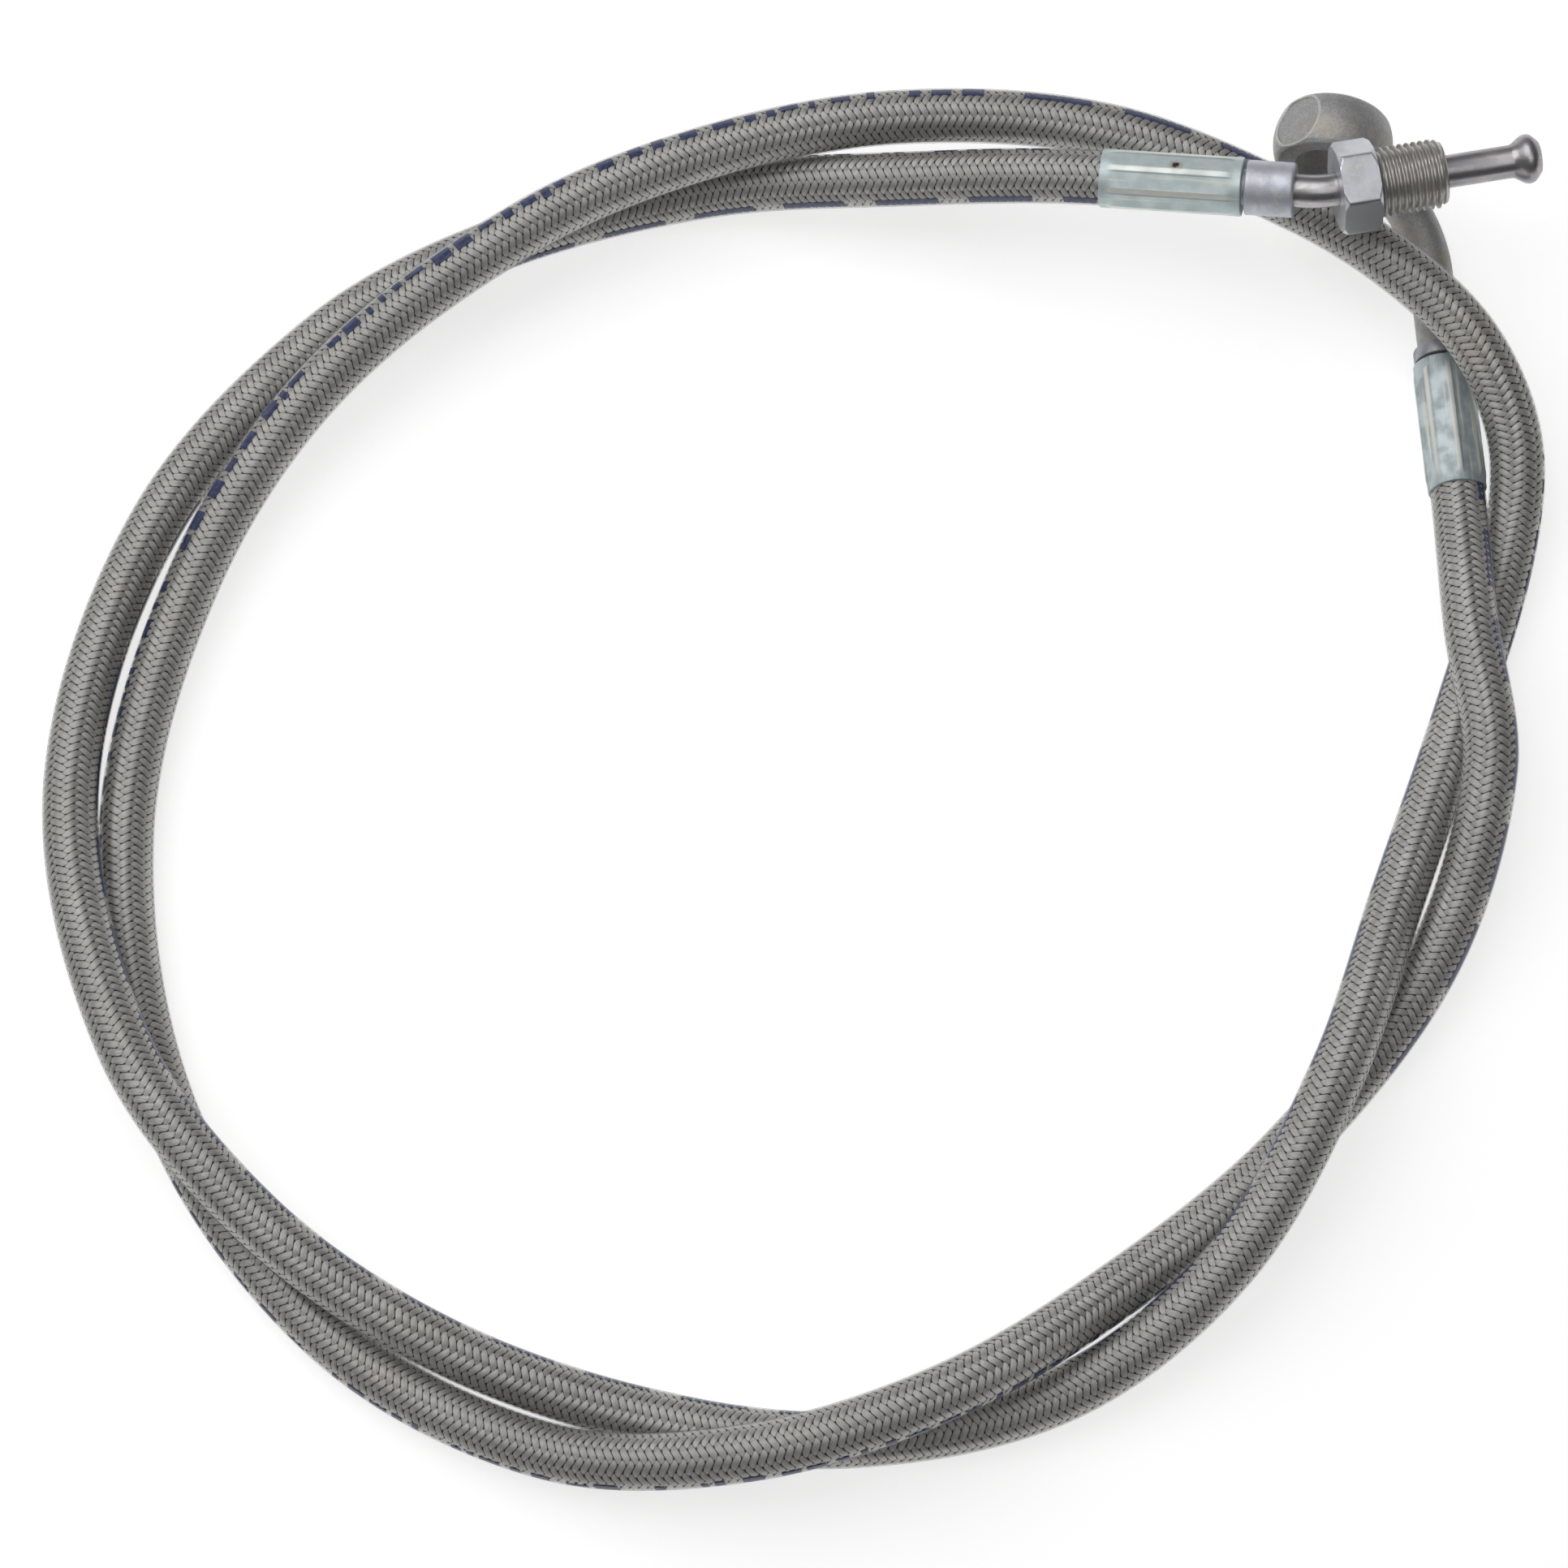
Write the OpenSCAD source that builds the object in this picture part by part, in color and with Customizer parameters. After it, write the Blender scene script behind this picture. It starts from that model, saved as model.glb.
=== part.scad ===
// Braided hydraulic hose assembly, coiled in two loose turns on a flat surface.
// Millimetres, +Z up. The surface is z = 0 and the origin lies under the middle of the end fittings.

/* [Hose] */
// Outer diameter of the clear cover
hose_od = 8; // [7.6:0.1:8.1]
// Outer diameter of the wire braid
braid_od = 6.2; // [6:0.1:6.4]
// Outer diameter of the liner
liner_od = 5.2; // [5:0.1:5.4]
// Inner diameter of the liner
liner_id = 3.4; // [3.2:0.1:3.6]
// Sides of the swept tubes
tube_sides = 10; // [8:1:12]

/* [Ferrules] */
// Outer diameter of a ferrule
ferrule_od = 8.8; // [8.6:0.1:9]
// Length of a ferrule
ferrule_len = 20.5; // [19:0.5:21]
// Distance across the eight crimped flats
crimp_flats = 8.45; // [8.3:0.05:8.6]
// Gap between a ferrule and the collar behind it
collar_gap = 0.5; // [0.3:0.1:0.8]

/* [Tube end] */
// Diameter of the smooth collar
collar_od = 7.9; // [7.5:0.1:8.2]
// Length of the smooth collar
collar_len = 7; // [6:0.5:7]
// Outer diameter of the steel tube
tube_od = 4.75; // [4.7:0.05:4.8]
// Inner diameter of the steel tube
tube_id = 3.35; // [3:0.05:3.5]
// Centreline radius of the tube's slight bend
tube_bend_r = 12; // [10:1:14]
// Distance from the bend to the end of the flare
tube_reach = 32; // [30:0.5:33]
// Diameter of the flare
flare_od = 7.1; // [6.8:0.1:7.4]

/* [Tube nut] */
// Width across the hexagon's flats
hex_flats = 12; // [11:0.5:12]
// Length of the hexagon
hex_len = 5.5; // [5:0.5:7]
// Major diameter of the thread
thread_od = 10; // [9.8:0.1:10]
// Thread pitch
thread_pitch = 1; // [1, 1.25]
// Number of thread turns
thread_turns = 10; // [8:1:10]
// Radial clearance between the nut and the tube
nut_clearance = 0.07; // [0.05:0.01:0.1]

/* [Banjo end] */
// Diameter of the forged eye
eye_od = 17.5; // [17:0.1:18]
// Thickness of the eye between its sealing faces
eye_thick = 8.5; // [8:0.1:9]
// Diameter of the eye's bore, for an M10 banjo bolt
eye_bore = 10.1; // [10.05:0.05:10.3]
// Distance from the eye's centre to the small flat opposite the neck
eye_flat = 7.6; // [7.4:0.1:8]
// Outer diameter of the neck
neck_od = 6.5; // [6:0.1:6.5]
// Centreline radius of the neck's bend
neck_bend_r = 13.5; // [13:0.1:14]
// Diameter of the narrow collar
band_od = 8; // [7.8:0.1:8.2]
// Length of the narrow collar
band_len = 2; // [1.5:0.5:2]

/* [Hidden] */
round_fn = 96;
bend_swell = 0.02;     // extra radius of a bend, so that straight ends overlap it cleanly
poke = 0.3;            // how far a straight end reaches into a bend
seat = 2;              // how deep a brazed end sits in its socket
shank_r = 2.6;         // the insert's plain shank, held by the ferrule's lip
lip = 1.5;             // thickness of the ferrule's lip
nipple_r = liner_id / 2;
barb_r = nipple_r + 0.35;
oil_r = 1.1;           // fluid passage through the inserts and the neck
hose_entry = 18;       // how far the liner and braid reach into a ferrule
thread_r = thread_od / 2;
thread_root_r = thread_r - 0.6 * thread_pitch;
hex_start = 2.4;       // the nut's rear face, measured from the tube's bend
thread_start = hex_start + hex_len;
thread_len = thread_turns * thread_pitch;

// Directions are [heading from +X towards +Y, elevation].
function direction(turn) = [cos(turn[1]) * cos(turn[0]), cos(turn[1]) * sin(turn[0]), sin(turn[1])];
function unit(v) = v / norm(v);

// Tube-nut end: the tube bends at tube_corner, where its two straight axes cross.
tube_corner = [0, 10.5, 26.5];
male_dir = direction([-7.8, 9.5]);
nut_dir = direction([9.3, 0.9]);
corner_to_mouth = 31.6;
male_mouth = tube_corner - corner_to_mouth * male_dir;
male_collar = male_mouth + (ferrule_len + collar_gap) * male_dir;
tube_turn = acos(male_dir * nut_dir);
tube_cut = tube_bend_r * tan(tube_turn / 2);

// Banjo end: the eye turns about its centre, then the neck leaves along the eye's own +X.
eye_centre = [3.6, 22.6, 14.5];
eye_turn = [-10, 39, -18.4];
neck_dir = direction([eye_turn[2], -eye_turn[1]]);
hose_end_dir = direction([-86.7, 7.4]);
neck_first = 9;        // straight length from the eye's centre to the bend
neck_last = 12.8;      // straight length from the bend to the collar
neck_turn = acos(neck_dir * hose_end_dir);
neck_side = unit(hose_end_dir - cos(neck_turn) * neck_dir);
neck_bend_end = eye_centre + neck_first * neck_dir
    + neck_bend_r * (sin(neck_turn) * neck_dir + (1 - cos(neck_turn)) * neck_side);
band_start = neck_bend_end + neck_last * hose_end_dir;
banjo_mouth = band_start + (band_len + collar_gap + ferrule_len) * hose_end_dir;

// Centreline of the free hose, from the tube-nut end round both turns to the banjo end.
route = concat([male_mouth], [
    [-61, 18, 12.5], [-89, 19, 5], [-119, 11, 4.5], [-144.5, -3.5, 4.5], [-168.5, -32, 4.5],
    [-179, -72.5, 8], [-169.5, -111, 13.5], [-150.5, -135.5, 12], [-126, -152, 8], [-97, -162, 4],
    [-68.5, -165.5, 5], [-38, -159, 4.5], [-15, -141.5, 9.5], [0, -116, 13.5], [10.5, -88.5, 8],
    [21, -60.5, 4.5], [28.5, -37, 4.5], [29.5, -21.5, 9], [23.5, -8, 14], [12.5, 3, 16],
    [-2.4, 13.5, 14.6], [-29.5, 24, 16.5], [-59.5, 27, 14.5], [-87, 22, 14], [-114.5, 10.5, 13],
    [-144, -12, 9.5], [-162.5, -40.5, 5.5], [-171.5, -78.5, 4], [-163.5, -120, 5], [-140.5, -151, 4],
    [-110.5, -167, 6.5], [-82, -168, 12], [-54, -159.5, 13.5], [-28, -143, 5], [-6, -125, 4],
    [15, -98.5, 5.5], [23.5, -71.5, 11.5], [21.5, -50, 12.5]], [banjo_mouth]);
last = len(route) - 1;
rings_per_span = 2;

// A smooth curve through the route. The lowest it may lie is one hose radius above the surface.
function span(i) = norm(route[i + 1] - route[i]);
function lean(i) = i == 0 ? -male_dir : i == last ? -hose_end_dir
    : (route[i + 1] - route[i - 1]) / (span(i) + span(i - 1));
function curve_point(i, u) = (2 * u ^ 3 - 3 * u ^ 2 + 1) * route[i]
    + (u ^ 3 - 2 * u ^ 2 + u) * span(i) * lean(i)
    + (3 * u ^ 2 - 2 * u ^ 3) * route[i + 1]
    + (u ^ 3 - u ^ 2) * span(i) * lean(i + 1);
function lie_on(p) = [p.x, p.y, max(p.z, hose_od / 2)];
free_path = concat(
    [for (i = [0 : last - 1]) for (k = [0 : rings_per_span - 1]) lie_on(curve_point(i, k / rings_per_span))],
    [banjo_mouth]);
inner_path = concat([male_mouth + hose_entry * male_dir], free_path, [banjo_mouth - hose_entry * hose_end_dir]);

// One ring of points round the path at p, square to the direction d.
function ring(p, d, r) = let (side = unit(cross(d, [0, 0, 1])), up = cross(side, d))
    [for (k = [0 : tube_sides - 1]) let (w = 360 * k / tube_sides) p + r * (cos(w) * side + sin(w) * up)];
function heading(path, i) = i == 0 ? -male_dir : i == len(path) - 1 ? -hose_end_dir
    : unit(path[i + 1] - path[i - 1]);
function skin(path, r) = [for (i = [0 : len(path) - 1]) each ring(path[i], heading(path, i), r)];
function wall_faces(first, rings, outward) = [for (i = [0 : rings - 2]) for (k = [0 : tube_sides - 1])
    let (a = first + i * tube_sides + k, b = first + i * tube_sides + (k + 1) % tube_sides,
         c = a + tube_sides, d = b + tube_sides)
    each (outward ? [[a, b, d], [a, d, c]] : [[a, d, b], [a, c, d]])];
function end_faces(outer, inner, at_start) = [for (k = [0 : tube_sides - 1])
    let (j = (k + 1) % tube_sides, a = outer + k, b = outer + j, c = inner + k, d = inner + j)
    each (at_start ? [[a, d, b], [a, c, d]] : [[a, b, d], [a, d, c]])];

// A hollow tube of outer radius r1 and inner radius r2 swept along a path, as one closed shell.
module swept_tube(path, r1, r2) {
    rings = len(path);
    inside = rings * tube_sides;
    far = (rings - 1) * tube_sides;
    polyhedron(
        points = concat(skin(path, r1), skin(path, r2)),
        faces = concat(wall_faces(0, rings, true), wall_faces(inside, rings, false),
            end_faces(0, inside, true), end_faces(far, inside + far, false)));
}

// Stands children with their +Z along d and their +X towards side.
function tilt(d) = acos(d.z / norm(d));
function turn(d) = atan2(d.y, d.x);
function seen_from(v, d) = let (x = v.x * cos(turn(d)) + v.y * sin(turn(d)))
    [x * cos(tilt(d)) - v.z * sin(tilt(d)), v.y * cos(turn(d)) - v.x * sin(turn(d))];
module aim(p, d, side = [0, 0, 1]) {
    towards = seen_from(side, d);
    translate(p) rotate([0, tilt(d), turn(d)]) rotate([0, 0, atan2(towards.y, towards.x)]) children();
}

// A straight rod along +Z from z1 to z2.
module rod(r, z1, z2) {
    translate([0, 0, z1]) cylinder(h = z2 - z1, r = r, $fn = round_fn);
}

// A rod that starts along +Z and bends by angle towards +X. It is a hair fatter than the straight rods,
// whose ends reach a little way into it.
module elbow(r, bend_r, angle) {
    translate([bend_r, 0, 0]) rotate([90, 0, 180]) rotate_extrude(angle = angle, $fn = round_fn)
        translate([bend_r, 0]) circle(r = r + bend_swell, $fn = round_fn);
}

// A crimped ferrule from its mouth at z = 0: eight flats between two round ends, and an inner lip.
module ferrule() {
    round_end = 2;
    difference() {
        union() {
            rod(ferrule_od / 2 - 0.15, 0, round_end);
            intersection() {
                rod(ferrule_od / 2, round_end, ferrule_len - round_end);
                translate([0, 0, round_end])
                    cylinder(h = ferrule_len - 2 * round_end, r = crimp_flats / 2 / cos(22.5), $fn = 8);
            }
            rod(ferrule_od / 2 - 0.15, ferrule_len - round_end, ferrule_len);
        }
        rod(braid_od / 2, -1, ferrule_len - lip);
        rod(shank_r, -1, ferrule_len + 1);
    }
}

// The barbed half of an insert. z = 0 is the collar's face, and the barbs point towards -Z.
module barbed_shank() {
    barb_len = 3;
    barbs = 4;
    plain = collar_gap + lip;
    tip = -plain - hose_entry + 2;
    rod(shank_r, -plain, 0);
    rod(nipple_r, tip, -plain);
    for (i = [0 : barbs - 1]) translate([0, 0, tip + 1 + i * barb_len])
        cylinder(h = barb_len - 1, r1 = nipple_r, r2 = barb_r, $fn = round_fn);
}

module hose_liner() {
    color("white") swept_tube(inner_path, liner_od / 2, liner_id / 2);
}

module hose_braid() {
    color("silver") swept_tube(inner_path, braid_od / 2, liner_od / 2);
}

module hose_cover() {
    color("lightsteelblue", 0.4) swept_tube(free_path, hose_od / 2, braid_od / 2);
}

module ferrule_male() {
    color("lightslategray") aim(male_mouth, male_dir) ferrule();
}

module ferrule_banjo() {
    color("lightslategray") aim(banjo_mouth, -hose_end_dir) ferrule();
}

// Smooth collar with a socket for the steel tube.
module insert_male() {
    edge = 0.5;
    color("slategray") aim(male_collar, male_dir) difference() {
        union() {
            barbed_shank();
            rod(collar_od / 2, 0, collar_len - edge);
            translate([0, 0, collar_len - edge])
                cylinder(h = edge, r1 = collar_od / 2, r2 = collar_od / 2 - edge, $fn = round_fn);
        }
        rod(oil_r, -ferrule_len - 1, collar_len);
        rod(tube_od / 2, collar_len - seat, collar_len + 1);
    }
}

// Narrow collar that the forged neck is brazed to.
module insert_banjo() {
    color("slategray") aim(band_start + band_len * hose_end_dir, -hose_end_dir) difference() {
        union() {
            barbed_shank();
            rod(band_od / 2, 0, band_len);
        }
        rod(oil_r, -ferrule_len - 1, band_len + 1);
    }
}

// The flare, ending at z = 0: it widens as a cone, has a short rim, and closes with a bevel.
module flare(length) {
    rim = flare_od / 2;
    foot = tube_od / 2 + bend_swell;
    rotate_extrude($fn = round_fn) polygon([[0, -length], [foot, -length], [rim, -2.2], [rim, -1.2],
        [tube_id / 2 + 0.4, 0], [0, 0]]);
}

// Steel tube, brazed into the collar, with its slight bend and its flared end.
module flared_tube() {
    start = male_collar + (collar_len - seat) * male_dir;
    bend_start = tube_corner - tube_cut * male_dir;
    bend_end = tube_corner + tube_cut * nut_dir;
    flare_len = 4.2;
    module run(r) {
        aim(start, male_dir) rod(r, 0, norm(bend_start - start) + poke);
        aim(bend_start, male_dir, nut_dir) elbow(r, tube_bend_r, tube_turn);
        aim(bend_end, nut_dir) rod(r, -poke, tube_reach - tube_cut - flare_len / 2);
    }
    color("gainsboro") difference() {
        union() {
            run(tube_od / 2);
            aim(tube_corner + tube_reach * nut_dir, nut_dir) flare(flare_len);
        }
        run(tube_id / 2);
        aim(tube_corner, nut_dir) rod(tube_id / 2 - bend_swell, tube_reach / 2, tube_reach + 1);
    }
}

// Outline of the thread as a row of crests, from its first root to its last.
function thread_outline() = [for (i = [0 : thread_turns - 1]) each
    [for (step = [[0.1, 0], [0.38, 1], [0.62, 1], [0.9, 0]])
        [thread_root_r + step[1] * (thread_r - thread_root_r), thread_start + (i + step[0]) * thread_pitch]]];

// Captive nut: a chamfered hexagon and a male thread, bored to turn on the tube.
module tube_nut() {
    corner = hex_flats / 2 / cos(30);
    chamfer = 0.7;
    hex_roll = 41;     // turn of the hexagon about the tube, with one flat nearly facing up
    color("lightsteelblue") aim(tube_corner, nut_dir) difference() {
        union() {
            intersection() {
                translate([0, 0, hex_start]) rotate([0, 0, hex_roll])
                    cylinder(h = hex_len, r = corner, $fn = 6);
                rotate_extrude($fn = round_fn) polygon([[0, hex_start], [corner - chamfer, hex_start],
                    [corner, hex_start + chamfer], [corner, thread_start - chamfer],
                    [corner - chamfer, thread_start], [0, thread_start]]);
            }
            rotate_extrude($fn = round_fn) polygon(concat([[0, thread_start - 1], [thread_root_r, thread_start - 1]],
                thread_outline(), [[thread_root_r, thread_start + thread_len], [0, thread_start + thread_len]]));
        }
        rod(tube_od / 2 + nut_clearance, hex_start - 1, thread_start + thread_len + 1);
    }
}

// One forging: eye, bent neck and a spigot end, with the cross bore and the oil passage.
module banjo_eye() {
    root_start = 6;    // the neck's root, inside the eye's wall
    root_r = neck_od / 2 + 0.6;
    root_len = 2.8;
    module neck(r, first) {
        aim(eye_centre, neck_dir) rod(r, first, neck_first + poke);
        aim(eye_centre + neck_first * neck_dir, neck_dir, hose_end_dir) elbow(r, neck_bend_r, neck_turn);
        aim(neck_bend_end, hose_end_dir) rod(r, -poke, neck_last);
    }
    color("darkgray") difference() {
        union() {
            translate(eye_centre) rotate(eye_turn) intersection() {
                rotate([90, 0, 0]) rotate_extrude($fn = round_fn) intersection() {
                    circle(r = eye_od / 2, $fn = round_fn);
                    translate([eye_bore / 2, -eye_thick / 2]) square([eye_od, eye_thick]);
                }
                translate([-eye_flat, -eye_od, -eye_od]) cube(2 * eye_od);
            }
            aim(eye_centre + root_start * neck_dir, neck_dir)
                cylinder(h = root_len, r1 = root_r, r2 = neck_od / 2 + bend_swell / 2, $fn = round_fn);
            neck(neck_od / 2, root_start);
        }
        neck(oil_r, 0);
    }
}

hose_liner();
hose_braid();
hose_cover();
ferrule_male();
insert_male();
flared_tube();
tube_nut();
ferrule_banjo();
insert_banjo();
banjo_eye();
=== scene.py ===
import math

import bmesh
import bpy
import numpy as np
from mathutils import Matrix, Vector


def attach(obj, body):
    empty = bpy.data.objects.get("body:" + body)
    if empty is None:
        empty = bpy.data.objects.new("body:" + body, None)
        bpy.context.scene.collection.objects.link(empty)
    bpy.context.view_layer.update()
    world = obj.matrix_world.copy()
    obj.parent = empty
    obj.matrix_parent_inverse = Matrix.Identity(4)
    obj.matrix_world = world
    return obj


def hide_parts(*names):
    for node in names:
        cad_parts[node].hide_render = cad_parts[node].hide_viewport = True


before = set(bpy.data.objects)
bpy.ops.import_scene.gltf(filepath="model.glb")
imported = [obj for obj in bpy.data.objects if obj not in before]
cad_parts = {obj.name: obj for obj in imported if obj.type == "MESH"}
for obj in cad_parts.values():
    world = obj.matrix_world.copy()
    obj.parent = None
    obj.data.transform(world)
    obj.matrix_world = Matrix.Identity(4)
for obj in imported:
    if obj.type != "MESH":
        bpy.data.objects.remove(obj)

# Looks of a braided hydraulic hose assembly. The frame is in metres; sizes below are in millimetres
# and take their scale from MM. Places along the hose are distances from its mouth at the tube end.

MM = 0.001
ROOT, NUT = "root", "nut"
MIDDLE = (-0.077, -0.0705, 0)   # what the camera and the lights look at
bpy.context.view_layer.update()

# Hose
COVER_R = 4.0
COVER_INNER_R = 3.3
BRAID_R = 3.62         # the cover's lens effect makes the braid look this big
LINER_R, LINER_BORE_R = 2.6, 1.7
HOSE_ENTRY = 18        # how far the braid and liner reach into a ferrule
CARRIERS = 12          # bundles of wire each way round
BRAID_LEAD = 14.5      # length in which a bundle goes once round
BRAID_ROW = BRAID_LEAD / (2 * CARRIERS)    # length from one row of crossings to the next
WEAVE, CROWN = 0.13, 0.14                  # how far a bundle rises and falls, and how round it is
WIRES = 7              # wires in a bundle
BUNDLE_CUTS = np.array([-0.5, -0.41, -0.15, 0.15, 0.41])    # where the mesh is cut across a bundle
BRAID_SIDES = CARRIERS * len(BUNDLE_CUTS)
BRAID_PIECES = 12
DASH_R, BLOCK_R = 3.88, 3.93    # dashes lie among the highest wires, blocks just over them
INK_DEPTH = 0.08

# Fittings
FERRULE_R, FERRULE_LEN, CRIMP_R, RIDGE_R = 4.25, 20.5, 4.225, 4.43
RIDGE_TURN = math.pi / 4        # from one ridge of a crimped ferrule to the next
COLLAR_GAP = 0.5
GRIP_R, FERRULE_LIP = 3.78, 1.5
SHANK_R, OIL_R = 2.6, 1.1
BARBS, BARB_STEP, BARB_HEIGHT = 4, 3, 0.35
COLLAR_R, COLLAR_LEN, SOCKET = 3.95, 7, 2
CORNER_TO_MOUTH = 31.6
TUBE_R, TUBE_BORE_R, TUBE_BEND_R, TUBE_REACH = 2.375, 1.675, 12, 32
NUT_BORE_R, HEX_FLATS, HEX_START, HEX_LEN, HEX_ROLL = 2.445, 12, 2.4, 5.5, 41
HEX_CORNER_R = HEX_FLATS / 2 / math.cos(math.pi / 6)
THREAD_R, THREAD_ROOT_R, PITCH, TURNS = 5.0, 4.4, 1.0, 10
THREAD_START = HEX_START + HEX_LEN
THREAD_END = THREAD_START + TURNS * PITCH
SHADED_FLAT_TURN = math.radians(30)    # where the nut's flat painted dark as shade is, about its axis
EYE_R, EYE_HALF, EYE_BORE_R, EYE_FLAT = 8.75, 4.25, 5.05, 7.6
NECK_R, NECK_BEND_R, NECK_FIRST, NECK_LAST = 3.25, 13.5, 9, 12.8
BAND_R, BAND_LEN = 4.0, 2

# Points that the free hose passes between its two mouths, in metres.
ROUTE = [
    (-0.061, 0.018, 0.0125), (-0.089, 0.019, 0.005), (-0.119, 0.011, 0.0045), (-0.1445, -0.0035, 0.0045),
    (-0.1685, -0.032, 0.0045), (-0.179, -0.0725, 0.008), (-0.1695, -0.111, 0.0135),
    (-0.1505, -0.1355, 0.012), (-0.126, -0.152, 0.008), (-0.097, -0.162, 0.004), (-0.0685, -0.1655, 0.005),
    (-0.038, -0.159, 0.0045), (-0.015, -0.1415, 0.0095), (0, -0.116, 0.0135), (0.0105, -0.0885, 0.008),
    (0.021, -0.0605, 0.0045), (0.0285, -0.037, 0.0045), (0.0295, -0.0215, 0.009), (0.0235, -0.008, 0.014),
    (0.0125, 0.003, 0.016), (-0.0024, 0.0135, 0.0146), (-0.0295, 0.024, 0.0165), (-0.0595, 0.027, 0.0145),
    (-0.087, 0.022, 0.014), (-0.1145, 0.0105, 0.013), (-0.144, -0.012, 0.0095), (-0.1625, -0.0405, 0.0055),
    (-0.1715, -0.0785, 0.004), (-0.1635, -0.120, 0.005), (-0.1405, -0.151, 0.004), (-0.1105, -0.167, 0.0065),
    (-0.082, -0.168, 0.012), (-0.054, -0.1595, 0.0135), (-0.028, -0.143, 0.005), (-0.006, -0.125, 0.004),
    (0.015, -0.0985, 0.0055), (0.0235, -0.0715, 0.0115), (0.0215, -0.050, 0.0125),
]


# ---------------------------------------------------------------- places and directions

def direction(heading, lift):
    """Unit vector turned by heading from +X towards +Y and lifted, both in degrees."""
    heading, lift = math.radians(heading), math.radians(lift)
    return np.array([math.cos(lift) * math.cos(heading), math.cos(lift) * math.sin(heading), math.sin(lift)])


def unit(v):
    return v / np.linalg.norm(v, axis=-1, keepdims=True)


def frame_at(point, axis, side=(0, 0, 1)):
    """Matrix that stands a piece with its +Z along axis and its +X towards side."""
    z = unit(np.array(axis, float))
    x = unit(np.array(side, float) - np.dot(side, z) * z)
    m = np.eye(4)
    m[:3, 0], m[:3, 1], m[:3, 2], m[:3, 3] = x, np.cross(z, x), z, point
    return Matrix(m.tolist())


def seen_from(place, points):
    """Points of the scene in the own space of a piece that stands in place."""
    inverse = np.array(place.inverted())
    return points @ inverse[:3, :3].T + inverse[:3, 3]


TUBE_CORNER = np.array([0, 0.0105, 0.0265])
MALE_DIR = direction(-7.8, 9.5)
NUT_DIR = direction(9.3, 0.9)
MALE_MOUTH = TUBE_CORNER - CORNER_TO_MOUTH * MM * MALE_DIR
MALE_COLLAR = MALE_MOUTH + (FERRULE_LEN + COLLAR_GAP) * MM * MALE_DIR
TUBE_TURN = math.acos(np.dot(MALE_DIR, NUT_DIR))
TUBE_CUT = TUBE_BEND_R * math.tan(TUBE_TURN / 2)

EYE_CENTRE = np.array([0.0036, 0.0226, 0.0145])
NECK_DIR = direction(-18.4, -39)
HOSE_END_DIR = direction(-86.7, 7.4)
BORE_DIR = np.array([0.2071601, 0.9689547, -0.13495])
EYE_PLACE = frame_at(EYE_CENTRE, BORE_DIR, NECK_DIR)
NECK_TURN = math.acos(np.dot(NECK_DIR, HOSE_END_DIR))
NECK_SIDE = unit(HOSE_END_DIR - math.cos(NECK_TURN) * NECK_DIR)


def bend(start, first_dir, side, radius, turn, count):
    """Points and directions round a bend from start, which turns from first_dir towards side."""
    t = np.linspace(0, turn, count)[:, None]
    points = start + radius * MM * (np.sin(t) * first_dir + (1 - np.cos(t)) * side)
    return points, np.cos(t) * first_dir + np.sin(t) * side


NECK_BEND_START = EYE_CENTRE + NECK_FIRST * MM * NECK_DIR
NECK_BEND_END = bend(NECK_BEND_START, NECK_DIR, NECK_SIDE, NECK_BEND_R, NECK_TURN, 2)[0][-1]
BAND_START = NECK_BEND_END + NECK_LAST * MM * HOSE_END_DIR
BANJO_MOUTH = BAND_START + (BAND_LEN + COLLAR_GAP + FERRULE_LEN) * MM * HOSE_END_DIR


class Line:
    """The hose's centreline, with a side vector (to the right of travel) and an up vector along it."""

    def __init__(self, step=0.25):
        # A Hermite curve, which runs at each knot as the line between that knot's neighbours does
        knots = np.vstack([MALE_MOUTH, np.array(ROUTE), BANJO_MOUTH])
        span = np.linalg.norm(np.diff(knots, axis=0), axis=1)
        between = (knots[2:] - knots[:-2]) / (span[1:] + span[:-1])[:, None]
        lean = np.vstack([-MALE_DIR, between, -HOSE_END_DIR])
        u = np.linspace(0, 1, 40, endpoint=False)[:, None]
        parts = [(2 * u**3 - 3 * u**2 + 1) * knots[i] + (u**3 - 2 * u**2 + u) * span[i] * lean[i]
                 + (3 * u**2 - 2 * u**3) * knots[i + 1] + (u**3 - u**2) * span[i] * lean[i + 1]
                 for i in range(len(span))]
        curve = np.vstack(parts + [knots[-1:]])
        curve[:, 2] = np.maximum(curve[:, 2], COVER_R * MM)
        along = np.concatenate([[0], np.cumsum(np.linalg.norm(np.diff(curve, axis=0), axis=1))]) / MM
        self.length = along[-1]
        count = round((self.length + 2 * HOSE_ENTRY) / step)
        self.s = np.linspace(-HOSE_ENTRY, self.length + HOSE_ENTRY, count)
        inside = np.clip(self.s, 0, self.length)
        self.p = np.stack([np.interp(inside, along, curve[:, k]) for k in range(3)], -1)
        self.p -= np.outer(np.minimum(self.s, 0) * MM, MALE_DIR)
        self.p -= np.outer(np.maximum(self.s - self.length, 0) * MM, HOSE_END_DIR)
        d = unit(np.gradient(self.p, axis=0))
        self.side = unit(np.cross(d, [0, 0, 1]))
        self.up = np.cross(self.side, d)

    def at(self, s, table):
        return np.stack([np.interp(s, self.s, table[:, k]) for k in range(3)], -1)

    def skin(self, s, angle, radius):
        """Points at radius from the centreline at distances s. Angle 0 is right of travel, pi / 2 is up."""
        side, up = self.at(s, self.side), self.at(s, self.up)
        out = np.cos(angle)[..., None] * side + np.sin(angle)[..., None] * up
        return self.at(s, self.p) + MM * np.asarray(radius)[..., None] * out


line = Line()


# ---------------------------------------------------------------- meshes

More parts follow.
